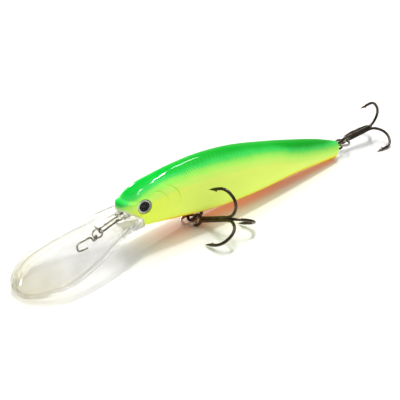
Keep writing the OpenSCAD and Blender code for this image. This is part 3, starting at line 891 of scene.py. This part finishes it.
diving_lip()

# ---------------------------------------------------------------- line tie, its small ring and the snap
TIE_TOP, TIE_LOW, TIE_END = 0.5, -0.75, 8.58  # heights of the two legs, and where they start to turn
TIE_MID, TIE_BEND = (TIE_TOP + TIE_LOW) / 2, (TIE_TOP - TIE_LOW) / 2
TIE_RING, TIE_LINK = 1.15, 8.65  # radius of the small ring, and where it hangs along the lip
SNAP_AT, SNAP_EYE = -25, 0.55  # place of the snap round the small ring, and radius of its eye


def line_tie():
    """Two legs out of the lip's root, closed by a round bend."""
    path = [[-1.5, 0, TIE_LOW]] + [[x, 0, TIE_LOW] for x in np.linspace(-1, 8.3, 40)]
    path += [[TIE_END + TIE_BEND * math.cos(t), 0, TIE_MID + TIE_BEND * math.sin(t)]
             for t in np.radians(np.linspace(-90, 90, 25))]
    path += [[x, 0, TIE_TOP] for x in np.linspace(8.3, -1, 40)] + [[-1.5, 0, TIE_TOP]]
    v, f = sweep(lip_to_row(np.array(path)), 0.225, 24)
    tie = face_outwards(make_object("line_tie_loop", v, f))
    sharpen(tie)
    finish_piece(tie, TIE, "lure_body", "tie_steel", "line_tie_wire")


def spun(p, axis, degrees):
    """Points turned about one axis of their own frame."""
    return np.asarray(p, float) @ np.array(Matrix.Rotation(math.radians(degrees), 3, axis)).T


def tie_ring_to_lip(p):
    """Points of the small ring's frame, which leans on the line tie, as points of the lip frame."""
    return spun(spun(p, "X", 14), "Y", 10) + np.array([TIE_LINK, 0, TIE_MID])


def tie_ring_to_row(p):
    return lip_to_row(tie_ring_to_lip(p))


def tie_ring_coil():
    """Two turns of wire that step across each other once."""
    a = np.linspace(0, 4 * math.pi, 181)
    z = (smooth(a, 2 * math.pi - 0.4, 2 * math.pi + 0.4) - 0.5) * 0.22
    coil = np.stack([TIE_RING + TIE_RING * np.cos(a + 1.9), TIE_RING * np.sin(a + 1.9), z], -1)
    v, f = rounded_wire(tie_ring_to_row(coil), 0.13, 18)
    ring = face_outwards(make_object("tie_ring_coil", v, f))
    sharpen(ring, 60)
    finish_piece(ring, TIE, "tie_ring", "tie_steel", "line_tie_ring")


def tie_ring_tab():
    """Flared tab standing on the small ring: a leaf with a hollow front edge."""
    foot_a, foot_b = np.array([0.16, 0.6, 0.05]), np.array([1.05, 1.12, 0.05])
    tip = np.array([0.75, 0.9, 1.9])
    leaf = dense([foot_a,
                  foot_a * 0.55 + tip * 0.45 + np.array([-0.1, -0.05, 0.1]),
                  foot_a * 0.2 + tip * 0.8 + np.array([-0.05, 0, 0.08]),
                  tip,
                  foot_b * 0.3 + tip * 0.7 + np.array([-0.08, -0.02, -0.05]),
                  foot_b * 0.65 + tip * 0.35 + np.array([-0.08, -0.02, -0.05]),
                  foot_b], 0.12)
    across = np.cross(foot_b - foot_a, tip - foot_a)
    across *= 0.09 / np.linalg.norm(across)
    n = len(leaf)
    faces = [tuple(range(n)), tuple(reversed(range(n, 2 * n)))]
    faces += [(i, i + n, (i + 1) % n + n, (i + 1) % n) for i in range(n)]
    verts = tie_ring_to_row(np.vstack([leaf - across, leaf + across]))
    tab = face_outwards(make_object("tie_ring_tab", verts, faces, None, False))
    soft = tab.modifiers.new("soft", "BEVEL")
    soft.width = 0.04 * MM
    soft.segments = 2
    apply_modifiers(tab)
    sharpen(tab, 50)
    finish_piece(tab, TAB, "tie_ring", "tie_steel", "line_tie_ring")


def line_snap():
    """Eye round the small ring, one wide bent arm, and the wrap of thin wire at its root."""
    t, reach = math.radians(SNAP_AT), TIE_RING + SNAP_EYE
    knot = tie_ring_to_lip(np.array([TIE_RING + reach * math.cos(t), reach * math.sin(t), 0]))
    a = np.linspace(0, 2 * math.pi, 48, endpoint=False)
    loop = np.stack([TIE_RING + SNAP_EYE * np.cos(a), 0 * a, SNAP_EYE * np.sin(a)], -1)
    loop = spun(loop, "Z", SNAP_AT) + np.array([TIE_RING, 0, 0])
    arm = [[0, 0, 0], [0.3, 0.15, 0], [0.42, 0.6, 0], [0.5, 1.1, 0], [0.8, 1.4, 0], [1.5, 1.38, 0],
           [3.2, 1.12, 0], [3.8, 0.85, 0], [4.12, 0.3, 0], [4.3, -0.9, 0], [4.22, -1.35, 0], [3.9, -1.56, 0],
           [3.0, -1.6, 0], [2.15, -1.56, 0]]
    arm = spun(spun(dense(arm, 0.1), "Z", 21), "Y", 2.5) + knot
    twist = np.linspace(0, 5 * math.pi, 70)
    wrap = np.stack([0.12 + 0.016 * twist, 0.27 * np.cos(twist), 0.27 * np.sin(twist)], -1)
    wrap = spun(spun(wrap, "Z", 35), "Y", 4) + knot
    v, f = merge_parts([sweep(tie_ring_to_row(loop), 0.18, 18, closed=True),
                        rounded_wire(lip_to_row(arm), 0.21, 18),
                        rounded_wire(lip_to_row(wrap), 0.09, 12)])
    snap = make_object("line_snap_wire", v, f)
    sharpen(snap)
    finish_piece(snap, TIE, "snap", "tie_steel", "line_snap")


line_tie()
tie_ring_coil()
tie_ring_tab()
line_snap()


# ---------------------------------------------------------------- hangers and split rings
def loop_path(x0, x1, z0, z1, r):
    """Rounded rectangle of wire on the centre plane."""
    corners = ((x1 - r, z0 + r, -90), (x1 - r, z1 - r, 0), (x0 + r, z1 - r, 90), (x0 + r, z0 + r, 180))
    pts = []
    for cx, cz, a0 in corners:
        for t in np.radians(np.linspace(a0, a0 + 90, 13)):
            pts.append([cx + r * math.cos(t), 0, cz + r * math.sin(t)])
    return np.array(pts) + SHIFT


def hanger(name, path, radius, node):
    v, f = sweep(path, radius, 24, closed=True)
    obj = face_outwards(make_object(name, v, f))
    sharpen(obj)
    return finish_piece(obj, NICKEL, "lure_body", "black_nickel", node)


hanger("belly_hanger_wire", loop_path(-12.9, -8.5, 0.47, 5.2, 1.1), 0.4, "belly_hook_hanger")
hanger("tail_hanger_wire", loop_path(37.4, 44.05, 2.35, 4.25, 0.9), 0.33, "tail_hook_hanger")


def split_ring(name, place, lean, spin, body, node):
    """One wire wound twice, stepping across itself once."""
    r, wire = 1.94, 0.4
    a = np.linspace(0, 4 * math.pi, 241)
    z = (smooth(a, 2 * math.pi - 0.35, 2 * math.pi + 0.35) - 0.5) * wire * 0.9
    ang = a + spin
    p = np.stack([r * np.cos(ang), r * np.sin(ang), z], -1)
    c, s = math.cos(lean), math.sin(lean)
    p = np.stack([p[:, 0] * c + p[:, 2] * s, p[:, 1], -p[:, 0] * s + p[:, 2] * c], -1)
    v, f = rounded_wire(p + np.array(place) + SHIFT, wire / 2, 18)
    obj = face_outwards(make_object(name, v, f))
    sharpen(obj, 60)
    return finish_piece(obj, RING, body, "ring_steel", node)


split_ring("belly_ring_coil", (-13.15, -0.8, 1.32), math.radians(-10), 2.2, "belly_ring", "belly_split_ring")
split_ring("tail_ring_coil", (44.9, 0.72, 3.3), math.radians(2), 0.9, "tail_ring", "tail_split_ring")

# ---------------------------------------------------------------- treble hooks
# one hook: place along the shank and height over the treble's axis, from the shank round to the point
SHANK_OFF = 0.44
HOOK = [(4, SHANK_OFF), (7, SHANK_OFF), (9.6, SHANK_OFF), (10.5, 0.54), (11.4, 0.86), (12.2, 1.45),
        (12.9, 2.25), (13.35, 3.15), (13.5, 4.05), (13.35, 5), (12.95, 5.85), (12.25, 6.75), (11.3, 7.35),
        (10.3, 7.57), (9.3, 7.57), (8.3, 7.52), (7.2, 7.5), (6.2, 7.5)]
HOOK_R = 0.38
# brazed core between the shanks: place along the axis and radius
BRAZE = [(1.5, 0.16), (1.9, 0.3), (3, 0.34), (5, 0.36), (8.2, 0.36), (9.2, 0.28), (9.7, 0.1)]
HOOK_EYE_R = 1.27


def hook_matrix(place, turn_z, rise):
    """Frame of a treble: its axis along X, turned about Z and then raised."""
    t, r = math.radians(turn_z), math.radians(rise)
    m = Matrix.Translation(Vector((np.array(place) + SHIFT) * MM))
    return m @ Matrix.Rotation(t, 4, "Z") @ Matrix.Rotation(-r, 4, "Y")


def turned(p, degrees):
    """Points turned about the treble's axis."""
    a = math.radians(degrees)
    c, s = math.cos(a), math.sin(a)
    p = np.asarray(p, float)
    return np.stack([p[:, 0], p[:, 1] * c - p[:, 2] * s, p[:, 1] * s + p[:, 2] * c], -1)


def hook_parts(angle, start):
    """Shank, bend and tapering point of one hook."""
    pts = dense([(start, SHANK_OFF), (start + 1.2, SHANK_OFF)] + HOOK, 0.16)
    t, r = pts[:, 0], pts[:, 1]
    rad = np.where((r > 7) & (t < 8.6), HOOK_R * (0.06 + 0.94 * smooth((t - 6.2) / 2.4) ** 0.8), HOOK_R)
    rad[:4] *= [0.75, 0.9, 0.97, 1.0]
    path = np.stack([t, 0 * t, r], -1)
    v, f = sweep(path, rad, 20)
    return turned(v, angle), f


def barb_part(angle):
    b = [(7.25, 7.42, 0.05), (9.0, 6.74, 0.03), (8.72, 7.3, 0.16), (7.6, 7.5, 0.2)]
    verts = [[t, s * w, r] for t, r, w in b for s in (-1, 1)]
    n = len(b)
    faces = [tuple(2 * i for i in range(n)), tuple(2 * i + 1 for i in reversed(range(n)))]
    faces += [(2 * i, 2 * i + 1, (2 * i + 3) % (2 * n), (2 * i + 2) % (2 * n)) for i in range(n)]
    return turned(verts, angle), faces


def union_of(name, parts, matrix):
    """One solid from closed parts that overlap."""
    solids = [face_outwards(make_object(f"{name}_{i}" if i else name, v, f, matrix))
              for i, (v, f) in enumerate(parts)]
    for other in solids[1:]:
        combine(solids[0], other, "UNION")
    return solids[0]


def remeshed(obj, voxel, passes):
    """Blends the joints of a union into one smooth skin, as plating does."""
    m = obj.modifiers.new("remesh", "REMESH")
    m.mode, m.voxel_size, m.adaptivity = "VOXEL", voxel * MM, 0.0
    apply_modifiers(obj)
    m = obj.modifiers.new("smooth", "SMOOTH")
    m.factor, m.iterations = 0.5, passes
    apply_modifiers(obj)
    obj.data.polygons.foreach_set("use_smooth", [True] * len(obj.data.polygons))
    return obj


def treble(body, matrix, lone):
    """A double bend with the eye, and a single bend standing at the lone angle."""
    a = np.radians(np.linspace(0, 360, 64, endpoint=False))
    circle = np.stack([HOOK_EYE_R * np.cos(a), HOOK_EYE_R * np.sin(a), 0 * a], -1)
    v, f = sweep(circle, HOOK_R, 20, closed=True)
    eye_ring = (turned(v, lone), f)
    braze = sweep([[x, 0, 0] for x, r in BRAZE], [r for x, r in BRAZE], 16)
    pair = (lone + 120, lone + 240)
    hooks, barbs = [hook_parts(angle, 1.15) for angle in pair], [barb_part(angle) for angle in pair]
    double = union_of(body + "_double_hook", hooks + [eye_ring, braze] + barbs, matrix)
    remeshed(double, 0.055, 3)
    single = union_of(body + "_single_hook", [hook_parts(lone, 1.6), barb_part(lone)], matrix)
    sharpen(single, 35)
    finish_piece(double, NICKEL, body, "black_nickel", body + "_double")
    finish_piece(single, NICKEL, body, "black_nickel", body + "_single")


treble("belly_treble", hook_matrix((-12.1, -2.38, 1.52), -80.4, 20.4), 240)
treble("tail_treble", hook_matrix((46.55, 1.6, 3.16), -3.9, 6.6), 120)


# ---------------------------------------------------------------- eyes
FOIL_THICK, PUPIL_R, DOME_R = 0.25, 1.28, 3  # the dome is part of a larger ball


def eye_profiles():
    """Turned profiles of the foil disc, the pupil and the domed lens, stacked from the socket's floor."""
    r, z0 = EYE["r"], -EYE["depth"]
    z1 = z0 + FOIL_THICK
    foil = [(0, z0), (r - 0.03, z0), (r, z0 + 0.04), (r, z0 + 0.22), (r - 0.04, z0 + 0.27),
            (1.45, z1), (0, z1)]
    pupil = [(0, z1 + 0.01), (PUPIL_R - 0.04, z1 + 0.01), (PUPIL_R, z1 + 0.04), (PUPIL_R, z1 + 0.08),
             (PUPIL_R - 0.06, z1 + 0.12), (0, z1 + 0.13)]
    z2, top = z1 + 0.15, z1 + 0.75
    dome = [(0, z2), (r - 0.12, z2), (r - 0.05, z2 + 0.02)]
    dome += [(DOME_R * math.sin(k), top - DOME_R + DOME_R * math.cos(k))
             for k in np.linspace(math.asin((r - 0.03) / DOME_R), 0, 16)]
    return foil, pupil, dome


def eye(side, word):
    looks = (("ring", FOIL, "eye_foil", "foil"), ("dot", PUPIL, "eye_black", "pupil"),
             ("dome", LENS, "eye_clear", "lens"))
    for profile, (part, material, slot, node) in zip(eye_profiles(), looks):
        v, f = lathe(profile)
        piece = face_outwards(make_object(f"{word}_eye_{part}", v, f, eye_matrix(side)))
        sharpen(piece, 40)
        finish_piece(piece, material, "lure_body", slot, f"{word}_eye_{node}")


eye(-1, "left")
eye(1, "right")

# ---------------------------------------------------------------- carried-over inner parts
for name in ("ballast_weight", "transfer_weight_front", "transfer_weight_rear", "rattle_shot"):
    node = frame["nodes"][name]
    if not node.data.materials:
        node.data.materials.append(LEAD)
    for i in range(len(node.data.materials)):
        node.data.materials[i] = LEAD


# ---------------------------------------------------------------- floor and light
def floor():
    m = Surface("pale_floor")
    pale = m.mix(m.noise(m.object_mm(), 0.004, 1), (0.9, 0.9, 0.89, 1), (0.92, 0.92, 0.91, 1))
    m.feed("Base Color", pale)
    m.set(Roughness=0.22)
    n, z = 4000, -0.02
    obj = make_object("studio_floor", [[-n, -n, z], [n, -n, z], [n, n, z], [-n, n, z]], [(0, 1, 2, 3)])
    obj.data.materials.append(m.material)


def world():
    """Soft light from overhead, a wide faint lobe to one side, and a pale band along the horizon."""
    sky = bpy.data.worlds.new("soft_sky")
    scene.world = sky
    sky.use_nodes = True
    g = Graph(sky.node_tree)
    direction = g.add("ShaderNodeTexCoord").outputs["Generated"]
    height = g.split(direction)[2]
    overhead = g.ramp(height, 0.45, 1.0, 0.02, 1.05)
    horizon = g.ramp(height, 0.22, 0.45, 0.5, 0.0)
    towards = g.add("ShaderNodeVectorMath", operation="DOT_PRODUCT")
    g.link(direction, towards.inputs[0])
    towards.inputs[1].default_value = (0.427, 0.45, 0.784)
    facing = g.math("MAXIMUM", towards.outputs["Value"], 0.0)
    lobe = g.mul(g.math("POWER", facing, 6.0), 0.1)
    background = g.add("ShaderNodeBackground")
    background.inputs["Color"].default_value = (1, 1, 0.99, 1)
    g.link(g.plus(g.plus(overhead, lobe), horizon), background.inputs["Strength"])
    g.link(background.outputs[0], g.add("ShaderNodeOutputWorld").inputs[0])


def area_light(name, size_x, size_y, power):
    data = bpy.data.lights.new(name, "AREA")
    data.shape = "RECTANGLE"
    data.size = size_x
    data.size_y = size_y
    data.energy = power
    light = bpy.data.objects.new(name, data)
    scene.collection.objects.link(light)
    return light


HEAD = Vector((-0.025, 0.004, 0.012))
STRIP_AWAY = 2.0


def strip(name, start, end, width, radiance):
    """Narrow light whose long axis runs between two directions seen from the head of the lure."""
    a, b = Vector(start).normalized(), Vector(end).normalized()
    z = (a + b).normalized()
    x = b - a
    x = (x - z * x.dot(z)).normalized()
    length, width = (b - a).length * STRIP_AWAY, width * STRIP_AWAY
    light = area_light(name, length, width, radiance * math.pi * length * width)
    place = Matrix((x, z.cross(x), z)).transposed().to_4x4()
    place.translation = HEAD + z * STRIP_AWAY
    light.matrix_world = place


def front_fill():
    at, aim = Vector((-1.2, -1.6, 0.45)), Vector((0, 0.004, 0.005))
    light = area_light("front_fill", 1.6, 0.8, 0.6)
    light.location = at
    light.rotation_mode = "QUATERNION"
    light.rotation_quaternion = (aim - at).to_track_quat("-Z", "Y")


floor()
world()
strip("key_top", (-0.129, 0.1, 0.985), (0.362, 0.142, 0.92), 0.018, 128)
strip("key_turn", (0.362, 0.142, 0.92), (0.447, 0.48, 0.755), 0.018, 150)
strip("key_back", (0.495, 0.57, 0.656), (0.609, 0.548, 0.574), 0.02, 130)
strip("key_side", (0.078, 0.193, 0.978), (-0.1, -0.25, 0.96), 0.014, 60)
strip("rim_back", (0.39, 0.917, 0.082), (0.267, 0.931, 0.251), 0.03, 100)
front_fill()
